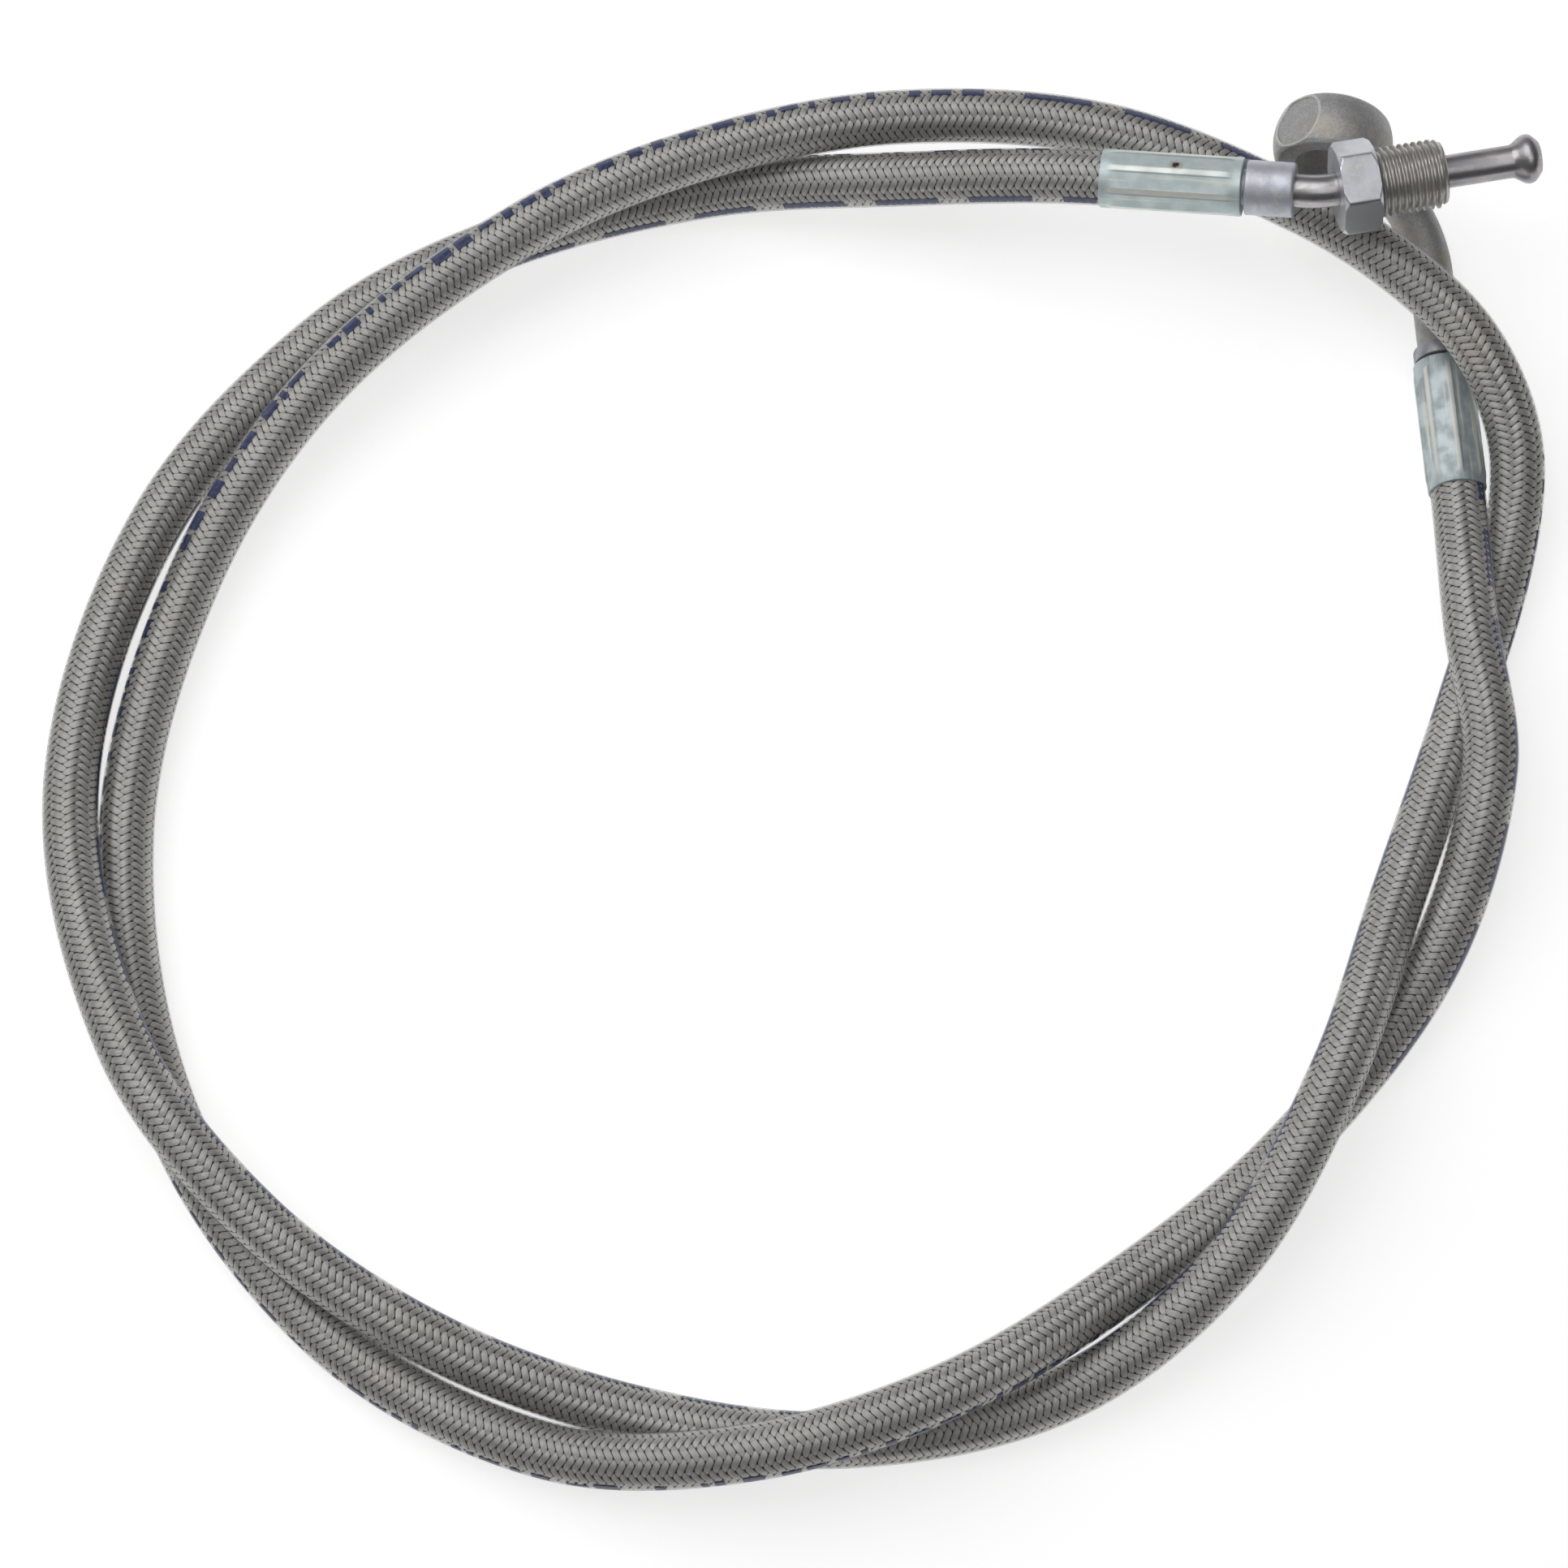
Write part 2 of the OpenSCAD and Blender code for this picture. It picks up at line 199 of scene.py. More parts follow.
def ring_faces(rings, sides, closed=False):
    """Quads between each ring of points and the next, and from the last back to the first if closed."""
    i, k = np.meshgrid(np.arange(rings if closed else rings - 1), np.arange(sides), indexing="ij")
    i, after, right = i * sides, (i + 1) % rings * sides, (k + 1) % sides
    return np.stack([i + k, after + k, after + right, i + right], -1).reshape(-1, 4)


def closed_object(name, points, faces):
    """An unfinished object from points in metres, with its faces turned outwards."""
    mesh = bpy.data.meshes.new(name)
    mesh.from_pydata(np.asarray(points).tolist(), [], [tuple(map(int, face)) for face in faces])
    bm = bmesh.new()
    bm.from_mesh(mesh)
    bmesh.ops.recalc_face_normals(bm, faces=bm.faces)
    bm.to_mesh(mesh)
    bm.free()
    made = bpy.data.objects.new(name, mesh)
    bpy.context.scene.collection.objects.link(made)
    return made


def build(name, points, faces, material, body=ROOT, place=None, sharp=35):
    """A smooth-shaded object from points in metres, riding on a body of the frame."""
    return finish_object(closed_object(name, points, faces), material, body, place, sharp)


def store(mesh, name, kind, domain, values):
    """Stores values on a mesh as an attribute for its material."""
    key = "vector" if kind == "FLOAT_VECTOR" else "value"
    mesh.attributes.new(name, kind, domain).data.foreach_set(key, np.asarray(values, np.float32).ravel())


def keep_own_place(mesh):
    own = np.empty(len(mesh.vertices) * 3, np.float32)
    mesh.vertices.foreach_get("co", own)
    store(mesh, "own", "FLOAT_VECTOR", "POINT", own)


def finish_object(piece, material, body, place=None, sharp=35):
    """Keeps a piece's own coordinates for its material's grain, stands it in its place and finishes it."""
    keep_own_place(piece.data)
    if place is not None:
        piece.data.transform(place)
    piece.data.shade_smooth()
    if sharp:
        piece.data.set_sharp_from_angle(angle=math.radians(sharp))
    piece.data.materials.clear()
    piece.data.materials.append(material)
    if piece.name not in bpy.context.scene.collection.objects:
        bpy.context.scene.collection.objects.link(piece)
    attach(piece, body)
    return piece


def dense(profile, step):
    """The closed profile with long straight stretches cut into shorter ones."""
    out = []
    for (r0, z0), (r1, z1) in zip(profile, profile[1:] + profile[:1]):
        count = max(1, round(math.dist((r0, z0), (r1, z1)) / step))
        out += [(r0 + (r1 - r0) * k / count, z0 + (z1 - z0) * k / count) for k in range(count)]
    return out


def arc(centre_r, centre_z, radius, start, end, count=7):
    """Profile points round an arc, with angles in degrees from +radius towards +z."""
    turns = np.radians(np.linspace(start, end, count))
    return [(centre_r + radius * math.cos(t), centre_z + radius * math.sin(t)) for t in turns]


def revolve(profile, sides=96, shape=None):
    """Points and faces of a closed profile taken round +Z. shape may move them: (r, z, angle) -> (r, z)."""
    r, z = np.array(profile, float).T
    angle = np.linspace(0, 2 * math.pi, sides, endpoint=False)[None, :]
    r, z = np.repeat(r[:, None], sides, 1), np.repeat(z[:, None], sides, 1)
    if shape:
        r, z = shape(r, z, angle)
    points = np.stack([r * np.cos(angle), r * np.sin(angle), z], -1).reshape(-1, 3) * MM
    return points, ring_faces(len(profile), sides, closed=True)


def sweep(points, dirs, radii, normal, sides):
    """Rings of the given radii round a line of points whose bends all lie square to normal."""
    n = unit(np.asarray(normal, float))
    across = unit(np.cross(n, dirs))
    angle = np.linspace(0, 2 * math.pi, sides, endpoint=False)
    out = np.cos(angle)[None, :, None] * n + np.sin(angle)[None, :, None] * across[:, None, :]
    return (points[:, None, :] + np.asarray(radii)[:, None, None] * MM * out).reshape(-1, 3)


# ---------------------------------------------------------------- materials

def feed(tree, socket, value):
    """Links a socket to another node's output, or sets it to a number or colour."""
    if isinstance(value, bpy.types.NodeSocket):
        tree.links.new(value, socket)
    else:
        socket.default_value = value


def node(tree, kind, inputs=None, **settings):
    """A node with its settings, and its inputs set to numbers or linked to other nodes' outputs."""
    made = tree.nodes.new(kind)
    for key, value in settings.items():
        setattr(made, key, value)
    for key, value in (inputs or {}).items():
        feed(tree, made.inputs[key], value)
    return made


def start_material(name, **values):
    """A material's node tree and its Principled shader, with values set on the shader's own sockets."""
    material = bpy.data.materials.new(name)
    material.use_nodes = True
    shader = material.node_tree.nodes["Principled BSDF"]
    for key, value in values.items():
        shader.inputs[key.replace("_", " ")].default_value = value
    return material, material.node_tree, shader


def grain(tree, scale, stretch=(1, 1, 1), detail=4.0, seed=0.0):
    """Noise from 0 to 1 in the piece's own space. scale is in features per metre."""
    moved = node(tree, "ShaderNodeMapping", {"Vector": own_place(tree), "Location": (seed, seed, seed),
                                             "Scale": stretch})
    return node(tree, "ShaderNodeTexNoise", {"Vector": moved.outputs[0], "Scale": scale, "Detail": detail,
                                             "Roughness": 0.6}).outputs["Fac"]


def ramp(tree, factor, low, high, start=0.0, end=1.0):
    """factor from low..high taken smoothly to start..end."""
    return node(tree, "ShaderNodeMapRange", {"Value": factor, "From Min": low, "From Max": high,
                                             "To Min": start, "To Max": end},
                interpolation_type="SMOOTHSTEP").outputs["Result"]


def blend_colours(tree, factor, first, second):
    """Colour between first, at factor 0, and second, at 1."""
    made = node(tree, "ShaderNodeMix", data_type="RGBA")
    # A Mix node's colour sockets have the same names as its others, so they go by number
    for index, value in ((0, factor), (6, first), (7, second)):
        feed(tree, made.inputs[index], value)
    return made.outputs[2]


def maths(tree, operation, *values):
    """Result of a Math node."""
    return node(tree, "ShaderNodeMath", dict(enumerate(values)), operation=operation).outputs[0]


def vector_maths(tree, operation, first, second):
    """Number that comes out of a Vector Math node."""
    return node(tree, "ShaderNodeVectorMath", {0: first, 1: second}, operation=operation).outputs["Value"]


def bump(tree, shader, height, depth, strength=1.0):
    """Relief of the given depth in millimetres on a shader."""
    made = node(tree, "ShaderNodeBump", {"Height": height, "Distance": depth * MM, "Strength": strength})
    tree.links.new(made.outputs[0], shader.inputs["Normal"])


def own_place(tree):
    return node(tree, "ShaderNodeAttribute", attribute_name="own").outputs["Vector"]


def braid_wire():
    """Woven bright wire. Its shine stretches across the wires of whichever bundle is on top."""
    material, tree, shader = start_material("braid_wire", Metallic=0.65, Anisotropic=0.7,
                                            Anisotropic_Rotation=0.25)
    across = node(tree, "ShaderNodeAttribute", attribute_name="wire").outputs["Fac"]
    height = node(tree, "ShaderNodeAttribute", attribute_name="relief").outputs["Fac"]
    run = node(tree, "ShaderNodeAttribute", attribute_name="run").outputs["Vector"]
    turn = maths(tree, "MULTIPLY", across, 2 * math.pi * WIRES)
    wires = maths(tree, "MULTIPLY_ADD", maths(tree, "COSINE", turn), 0.5, 0.5)
    metal = blend_colours(tree, ramp(tree, grain(tree, 90), 0.35, 0.7), (0.67, 0.66, 0.63, 1),
                          (0.79, 0.78, 0.75, 1))
    warm = blend_colours(tree, ramp(tree, grain(tree, 25, seed=3.0), 0.55, 0.75, 0.0, 0.6), metal,
                         (0.70, 0.63, 0.54, 1))
    loose = ramp(tree, grain(tree, 1200, seed=9.0), 0.42, 0.6, 0.75, 1.0)
    # The gaps between the wires of a bundle are painted dark as shade.
    wire_gaps_shaded = blend_colours(tree, ramp(tree, wires, 0.0, 0.5), (0.30, 0.29, 0.27, 1), warm)
    shaded = blend_colours(tree, loose, (0.42, 0.41, 0.385, 1), wire_gaps_shaded)
    # The grooves along each bundle's edges and the low places where a bundle dives under are painted near
    # black as shade.
    from_edge = maths(tree, "SUBTRACT", 0.5, maths(tree, "ABSOLUTE", across))
    unshaded_part = maths(tree, "MINIMUM", ramp(tree, from_edge, 0.02, 0.11), ramp(tree, height, 0.1, 0.34))
    groove_shaded = blend_colours(tree, unshaded_part, (0.022, 0.022, 0.022, 1), shaded)
    tree.links.new(groove_shaded, shader.inputs["Base Color"])
    tree.links.new(run, shader.inputs["Tangent"])
    tree.links.new(ramp(tree, grain(tree, 400, seed=7.0), 0.3, 0.7, 0.5, 0.64), shader.inputs["Roughness"])
    bump(tree, shader, wires, 0.03)
    return material


def clear_film():
    """Clear cover: glossy, see-through face on and bluish towards its edges."""
    material, tree, shader = start_material("clear_film", Base_Color=(0.12, 0.14, 0.19, 1), IOR=1.45)
    tree.links.new(ramp(tree, grain(tree, 600), 0.3, 0.7, 0.1, 0.25), shader.inputs["Roughness"])
    facing = node(tree, "ShaderNodeLayerWeight", {"Blend": 0.5}).outputs["Facing"]
    solid = maths(tree, "POWER", facing, 3.5)
    tree.links.new(ramp(tree, solid, 0.0, 1.0, 0.02, 0.75), shader.inputs["Alpha"])
    return material


def liner_plastic():
    material, tree, shader = start_material("liner_plastic", Roughness=0.35)
    tree.links.new(blend_colours(tree, grain(tree, 300), (0.78, 0.78, 0.74, 1), (0.88, 0.88, 0.85, 1)),
                   shader.inputs["Base Color"])
    return material


def ink():
    """Navy print, a little uneven."""
    material, tree, shader = start_material("ink", Roughness=0.4)
    tree.links.new(blend_colours(tree, ramp(tree, grain(tree, 1500), 0.35, 0.65), (0.016, 0.022, 0.07, 1),
                                 (0.05, 0.065, 0.16, 1)), shader.inputs["Base Color"])
    return material


def ridge_highlight_and_shade(tree, base, streaks):
    """A crimped ferrule's ridges painted pale as a highlight, each with a painted line of shade along one
    side.
    """
    own = node(tree, "ShaderNodeSeparateXYZ", {0: own_place(tree)}).outputs
    turn = maths(tree, "ARCTAN2", own["Y"], own["X"])
    from_ridge = maths(tree, "PINGPONG", turn, RIDGE_TURN / 2)
    past_ridge = maths(tree, "FLOORED_MODULO", turn, RIDGE_TURN)
    pressed = maths(tree, "MULTIPLY", ramp(tree, own["Z"], 0.6 * MM, 2.2 * MM),
                    ramp(tree, own["Z"], (FERRULE_LEN - 2.2) * MM, (FERRULE_LEN - 0.6) * MM, 1.0, 0.0))
    broken = maths(tree, "MULTIPLY", pressed, ramp(tree, streaks, 0.3, 0.6, 0.25, 0.75))
    ridge_highlight = maths(tree, "MULTIPLY", broken, ramp(tree, from_ridge, 0.05, 0.11, 1.0, 0.0))
    flank_shade = maths(tree, "MULTIPLY", ramp(tree, past_ridge, 0.08, 0.11),
                  ramp(tree, past_ridge, 0.12, 0.18, 1.0, 0.0))
    # The pale ridges are a painted highlight; the dark line along one side of each is painted shade.
    base = blend_colours(tree, ridge_highlight, base, (0.92, 0.91, 0.84, 1))
    return blend_colours(tree, maths(tree, "MULTIPLY", flank_shade, broken), base, (0.24, 0.27, 0.27, 1))


def rust_spot(tree, base, spot):
    """A ragged rust spot with a faint smear round it."""
    away = vector_maths(tree, "DISTANCE", own_place(tree), spot)
    ragged = maths(tree, "ADD", away, maths(tree, "MULTIPLY", grain(tree, 1800), 0.9 * MM))
    smear = ramp(tree, ragged, 0.8 * MM, 1.9 * MM, 0.45, 0.0)
    heart = ramp(tree, ragged, 0.75 * MM, 1.05 * MM, 1.0, 0.0)
    base = blend_colours(tree, smear, base, (0.30, 0.24, 0.17, 1))
    return blend_colours(tree, heart, base, (0.055, 0.035, 0.02, 1))


def nut_flat_shade_and_thread(tree, base):
    """The nut's one flat painted dark as shade, and its browner thread."""
    height = node(tree, "ShaderNodeSeparateXYZ", {0: own_place(tree)}).outputs["Z"]
    toward = vector_maths(tree, "DOT_PRODUCT", own_place(tree), (math.cos(SHADED_FLAT_TURN), math.sin(SHADED_FLAT_TURN), 0))
    shaded_flat = ramp(tree, toward, (HEX_FLATS / 2 - 0.2) * MM, (HEX_FLATS / 2 - 0.03) * MM, 0.0, 0.9)
    thread = ramp(tree, height, THREAD_START * MM, (THREAD_START + 0.6) * MM)
    # One flat of the hexagon is painted dark as shade.
    base = blend_colours(tree, shaded_flat, base, (0.20, 0.20, 0.205, 1))
    return blend_colours(tree, thread, base, (0.50, 0.485, 0.46, 1))


def zinc(name, cool, warm, dark, streak, rough, metallic, crimped_ends=False, spot=None, threaded=False):
    """Zinc plate with streaks along the piece's own Z and faint yellow passivation, plus its piece's own
    marks: a browner thread and a flat painted dark as shade on the nut, ridges with a painted highlight and
    painted shade on a crimped ferrule, and a rust spot.
    spot is the place of a rust spot."""
    material, tree, shader = start_material(name, Metallic=metallic)
    streaks = grain(tree, 1000, stretch=(1, 1, streak), seed=1.0)
    clouds = grain(tree, 260, seed=5.0)
    base = blend_colours(tree, ramp(tree, clouds, 0.38, 0.62), cool, dark)
    base = blend_colours(tree, ramp(tree, streaks, 0.52, 0.68, 0.0, 0.8), base, warm)
    if threaded:
        base = nut_flat_shade_and_thread(tree, base)
    if crimped_ends:
        base = ridge_highlight_and_shade(tree, base, streaks)
    if spot:
        base = rust_spot(tree, base, spot)
    tree.links.new(base, shader.inputs["Base Color"])
    tree.links.new(ramp(tree, clouds, 0.3, 0.7, *rough), shader.inputs["Roughness"])
    bump(tree, shader, streaks, 0.02, 0.6)
    return material


def forged():
    """Blasted forging: fine grain all over, with faint yellow-brown stains. Its small flat is painted darker
    as shade, with a painted highlight round its rim.
    """
    material, tree, shader = start_material("forged", Metallic=0.55)
    fine = grain(tree, 3500, detail=6.0)
    clouds = grain(tree, 150, seed=2.0)
    base = blend_colours(tree, ramp(tree, fine, 0.3, 0.7), (0.36, 0.36, 0.36, 1), (0.56, 0.56, 0.555, 1))
    base = blend_colours(tree, ramp(tree, grain(tree, 700, seed=4.0), 0.4, 0.62, 0.0, 0.35), base,
                         (0.30, 0.30, 0.31, 1))
    base = blend_colours(tree, ramp(tree, clouds, 0.5, 0.66, 0.0, 0.5), base, (0.55, 0.47, 0.34, 1))
    along = node(tree, "ShaderNodeSeparateXYZ", {0: own_place(tree)}).outputs["X"]
    # The small flat's face is painted darker as shade, and a pale line round its edge is a painted highlight.
    flat = ramp(tree, along, -(EYE_FLAT - 0.04) * MM, -(EYE_FLAT - 0.02) * MM, 0.2, 0.0)
    base = blend_colours(tree, flat, base, (0.22, 0.22, 0.22, 1))
    rim = maths(tree, "MULTIPLY",
                ramp(tree, along, -(EYE_FLAT - 0.1) * MM, -(EYE_FLAT - 0.25) * MM, 0.35, 0.0),
                ramp(tree, along, -(EYE_FLAT - 0.03) * MM, -(EYE_FLAT - 0.05) * MM, 1.0, 0.0))
    base = blend_colours(tree, rim, base, (0.80, 0.79, 0.76, 1))
    tree.links.new(base, shader.inputs["Base Color"])
    tree.links.new(ramp(tree, clouds, 0.3, 0.7, 0.48, 0.62), shader.inputs["Roughness"])
    bump(tree, shader, fine, 0.05, 0.8)
    return material


def floor_paper():
    """Pale paper, lit from below under the object like a light table."""
    material, tree, shader = start_material("floor_paper", Roughness=0.9, Emission_Color=(1, 1, 1, 1))
    tree.links.new(blend_colours(tree, grain(tree, 30), (0.54, 0.54, 0.54, 1), (0.56, 0.56, 0.56, 1)),
                   shader.inputs["Base Color"])
    away = vector_maths(tree, "DISTANCE", own_place(tree), MIDDLE)
    tree.links.new(ramp(tree, away, 0.3, 1.2, 0.68, 0.22), shader.inputs["Emission Strength"])
    return material


# ---------------------------------------------------------------- camera

def add_camera():
    distance, elevation = 0.65, math.radians(76)
    camera = bpy.data.objects.new("camera", bpy.data.cameras.new("camera"))
    camera.data.lens, camera.data.sensor_width = 102.95, 36
    camera.location = Vector(MIDDLE) + distance * Vector((0, -math.cos(elevation), math.sin(elevation)))
    camera.rotation_euler = (math.pi / 2 - elevation, 0, 0)
    camera.data.clip_start, camera.data.clip_end = 0.01, 20
    bpy.context.scene.collection.objects.link(camera)
    bpy.context.scene.camera = camera


add_camera()


# ---------------------------------------------------------------- hose

def tube_along(start, end, outer, inner, step, sides):
    """Points and faces of a hollow tube along the hose, and its ring centres."""
    s = np.linspace(start, end, round((end - start) / step) + 1)
    angle = np.linspace(0, 2 * math.pi, sides, endpoint=False)
    s_grid, angles = np.meshgrid(s, angle, indexing="ij")
    skins = [line.skin(s_grid.ravel(), angles.ravel(), np.full(s_grid.size, r)) for r in (outer, inner)]
    back = skins[1].reshape(len(s), sides, 3)[::-1].reshape(-1, 3)
    return np.vstack([skins[0], back]), ring_faces(2 * len(s), sides, closed=True), line.at(s, line.p)


def bundle_height(across, along, sign):
    """Height over the braid's mean radius of the bundles that run one way. They go two over, two under."""
    best = np.full(np.shape(across), -9.0)
    for centre in (np.floor(across), np.floor(across) + 1):
        u = across - centre
        top = sign * WEAVE * np.cos(math.pi / 2 * (centre + along - 0.5)) + CROWN * (1 - np.abs(2 * u) ** 4)
        best = np.where(np.abs(u) <= 0.5001, np.maximum(best, top), best)
    return best


def cut_place(index):
    """Place of a numbered cut of the mesh across the bundles that run one way, in bundles."""
    return index // len(BUNDLE_CUTS) + BUNDLE_CUTS[index % len(BUNDLE_CUTS)]


def braid_grid(start, end):
    """Ring, number round it, and cut across each way's bundles, for the points of rings start to end."""
    ring, k = np.meshgrid(np.arange(start, end), np.arange(BRAID_SIDES), indexing="ij")
    column = 2 * k + ring % 2
    return ring.ravel(), k.ravel(), ((column - ring) // 2).ravel(), ((column + ring) // 2).ravel()


def braid_points(rings):
    """The braid's points, their relief from 0 to 1, and which way the bundles of each kind run there."""
    cut_a, cut_b = braid_grid(0, rings)[2:]
    a, b = cut_place(cut_a), cut_place(cut_b)
    height = np.maximum(bundle_height(a, b, 1), bundle_height(b, a, -1))
    s = np.clip((b - a) * BRAID_ROW - HOSE_ENTRY, -HOSE_ENTRY, line.length + HOSE_ENTRY)
    angle = (a + b) * math.pi / CARRIERS
    side, up = line.at(s, line.side), line.at(s, line.up)
    round_step = BRAID_R * math.pi / CARRIERS * (np.cos(angle)[:, None] * up - np.sin(angle)[:, None] * side)
    along_step = BRAID_ROW * np.cross(up, side)
    relief = (height - height.min()) / (height.max() - height.min())
    runs = unit(round_step + along_step), unit(round_step - along_step)
    return line.skin(s, angle, BRAID_R + height), relief, runs


def braid_faces(start, end):
    """The braid's faces round the points of rings start to end, as point numbers. With each face come
    which way the bundle on top of it runs, and how far across that bundle each of its corners is."""
    ring, k, cut_a, cut_b = braid_grid(start, end)
    middle = (k + ring % 2) % BRAID_SIDES
    faces = np.stack([ring * BRAID_SIDES + k, (ring + 1) * BRAID_SIDES + middle,
                      ring * BRAID_SIDES + (k + 1) % BRAID_SIDES, (ring - 1) * BRAID_SIDES + middle], -1)
    low_a, high_a, low_b, high_b = map(cut_place, (cut_a, cut_a + 1, cut_b, cut_b + 1))
    corner_a = np.stack([low_a, low_a, high_a, high_a], -1)
    corner_b = np.stack([low_b, high_b, high_b, low_b], -1)
    mid_a, mid_b = corner_a.mean(1), corner_b.mean(1)
    a_on_top = bundle_height(mid_a, mid_b, 1) > bundle_height(mid_b, mid_a, -1)
    wire = np.where(a_on_top[:, None], corner_a - np.round(mid_a)[:, None],
                    corner_b - np.round(mid_b)[:, None])
    return faces, a_on_top, wire


def braid(material):
    """The woven braid as BRAID_PIECES lengths. Its mesh runs along both ways of the bundles, so that each
    crossing is a square patch of faces whose borders lie in the grooves."""
    rings = int((line.length + 2 * HOSE_ENTRY) / BRAID_ROW) * len(BUNDLE_CUTS)
    points, relief, (run_a, run_b) = braid_points(rings)
    bounds = np.linspace(1, rings - 1, BRAID_PIECES + 1).astype(int)
    made = []
    for piece, (start, end) in enumerate(zip(bounds[:-1], bounds[1:])):
        faces, a_on_top, wire = braid_faces(start, end)
        used, own_faces = np.unique(faces, return_inverse=True)
        mesh = bpy.data.meshes.new(f"hose_braid_{piece}")
        mesh.from_pydata(points[used].tolist(), [], own_faces.reshape(-1, 4).tolist())
        store(mesh, "relief", "FLOAT", "POINT", relief[used])
        store(mesh, "wire", "FLOAT", "CORNER", wire)
        run = np.where(a_on_top[:, None, None], run_a[faces], run_b[faces])
        store(mesh, "run", "FLOAT_VECTOR", "CORNER", run)
        made.append(finish_object(bpy.data.objects.new(mesh.name, mesh), material, ROOT, sharp=0))
    return made


def print_patch(start, end, angle, width, skin_r, points, faces):
    """Adds one thin closed patch of print on the cover, from start to end along the hose."""
    rows, columns = max(2, round((end - start) / 0.8) + 1), 6
    s, v = np.meshgrid(np.linspace(start, end, rows), np.linspace(-0.5, 0.5, columns), indexing="ij")
    turn = np.radians(angle) + v * width / COVER_R
    base = sum(len(p) for p in points)
    for radius in (skin_r, skin_r - INK_DEPTH):
        points.append(line.skin(s.ravel(), turn.ravel(), np.full(s.size, radius)))
    size = rows * columns
    quads = [(i * columns + j, i * columns + j + 1, (i + 1) * columns + j + 1, (i + 1) * columns + j)
             for i in range(rows - 1) for j in range(columns - 1)]
    rim = ([i * columns for i in range(rows)] + [(rows - 1) * columns + j for j in range(1, columns)]
           + [i * columns + columns - 1 for i in range(rows - 2, -1, -1)] + list(range(columns - 2, 0, -1)))
    faces += [tuple(base + q for q in quad) for quad in quads]
    faces += [tuple(base + size + q for q in quad[::-1]) for quad in quads]
    faces += [(base + p, base + q, base + size + q, base + size + p) for p, q in zip(rim, rim[1:] + rim[:1])]


def dashes(material):
    """A dashed line along the hose, which slowly changes the side that it lies on."""
    points, faces = [], []
    period, dash, width = 14.3, 9.6, 1.8
    angle_at = ([0, 60, 120, 190, 215, 260, 345, 420, 520, 588, 648, 1086, 1172],
                [174, 177, 190, 186, 174, 165, 163, 170, 172, 46, 52, 18, 36])
    for start, end in ((-4.4, 520), (593.7, 648), (1086, 1172)):
        for s in np.arange(start, end, period):
            print_patch(max(s, 0.3), s + dash, np.interp(s, *angle_at), width, DASH_R, points, faces)
    return build("print_dashes", np.vstack(points), faces, material)


def blocks(material):
    """Short plain blocks of print opposite the dashes, of irregular lengths and widths, with no lettering."""
    rng = np.random.default_rng(7)
    points, faces = [], []
    angle_at = ([0, 60, 520, 560, 650, 700, 750, 780, 810, 850, 1060, 1100],
                [20, 14, 8, 8, 48, 52, 54, 50, 26, 10, 2, 2])
    for start, end in ((8, 62), (518, 552), (652, 846), (884, 1066)):
        s = start
        while s < end:
            length, width = rng.uniform(0.8, 3.2), rng.uniform(1.2, 2.6)
            lies = np.interp(s, *angle_at) + rng.uniform(-5, 5)
            print_patch(s, s + length, lies, width, BLOCK_R, points, faces)
            s += length + rng.choice([0.9, 1.6, 2.4, 5.0], p=[0.4, 0.3, 0.2, 0.1])
    return build("print_blocks", np.vstack(points), faces, material)


def hose():
    braids = braid(braid_wire())
    for piece in braids:
        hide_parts("hose_braid")
    points, faces, _ = tube_along(-HOSE_ENTRY, line.length + HOSE_ENTRY, LINER_R, LINER_BORE_R,
                                  step=2.5, sides=20)
    liner = build("hose_liner_tube", points, faces, liner_plastic())
    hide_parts("hose_liner")
    points, faces, centres = tube_along(0, line.length, COVER_R, COVER_INNER_R, step=1.5, sides=40)
    cover = build("hose_cover_film", points, faces, clear_film())
    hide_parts("hose_cover")
    prints = ink()
    with_it = braids + [liner, dashes(prints), blocks(prints)]


hose()


# ---------------------------------------------------------------- ferrules and inserts

def smooth(x):
    x = np.clip(x, 0, 1)
    return x * x * (3 - 2 * x)


def crimped(r, z, angle):
    """Presses eight flats into the ferrule between its round ends."""
    off = angle % RIDGE_TURN - RIDGE_TURN / 2
    pressed = np.minimum(CRIMP_R / np.cos(off), RIDGE_R)
    share = smooth((z - 1.0) / 1.2) * smooth((FERRULE_LEN - 1.0 - z) / 1.2)
    return np.where(r > FERRULE_R - 0.2, r + share * (pressed - FERRULE_R), r), z


def ferrule(name, node_name, place, material):
    edge, lip_start = 0.18, FERRULE_LEN - FERRULE_LIP
    profile = (arc(FERRULE_R - edge, edge, edge, -90, 0, 4)
               + arc(FERRULE_R - edge, FERRULE_LEN - edge, edge, 0, 90, 4)
               + [(SHANK_R, FERRULE_LEN), (SHANK_R, lip_start), (GRIP_R, lip_start), (GRIP_R, 0)])
    points, faces = revolve(dense(profile, step=0.4), sides=128, shape=crimped)
    piece = build(name, points, faces, material, place=place, sharp=12)
    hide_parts(node_name)


def shank_profile(plain):
    """Outer profile of an insert's barbed shank, from its collar's face at z = 0 down to the tip."""
    tip = -plain - HOSE_ENTRY + 2
    profile = [(SHANK_R, 0), (SHANK_R, -plain), (LINER_BORE_R, -plain)]
    for k in range(BARBS)[::-1]:
        low = tip + 1 + k * BARB_STEP
        high = low + BARB_STEP - 1
        profile += [(LINER_BORE_R, high), (LINER_BORE_R + BARB_HEIGHT, high), (LINER_BORE_R, low)]
    return profile + [(LINER_BORE_R, tip), (OIL_R, tip)]


